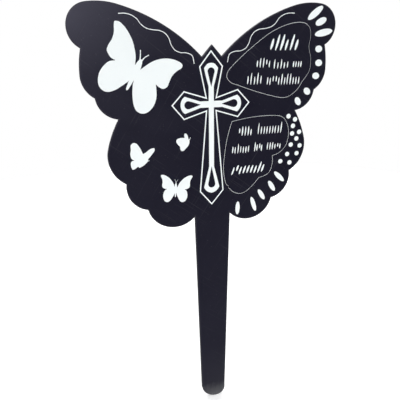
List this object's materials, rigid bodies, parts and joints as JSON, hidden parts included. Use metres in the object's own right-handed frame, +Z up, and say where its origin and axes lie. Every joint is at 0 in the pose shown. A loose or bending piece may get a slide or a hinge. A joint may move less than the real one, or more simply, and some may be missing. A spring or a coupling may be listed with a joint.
{
  "type": "memorial garden stake",
  "caption": "Butterfly-shaped black plate with scalloped wings and a long tapering ground stake, printed in white with a cross, butterflies and dotted wing edges.",
  "frame": {"origin": "on the back of the stake at the ground line, in the middle plane of the wings", "axes": "+Z up along the stake, -Y out of the printed front, +X to the right seen from the front"},
  "size_m": [0.1998, 0.003, 0.3508],
  "materials": {
    "black_sheet": "satin-gloss black acrylic sheet with a faint blue tone",
    "white_print": "crisp white ink printed on the front face"
  },
  "bodies": {
    "root": {"butterfly_stake": "black_sheet"}
  },
  "joints": []
}
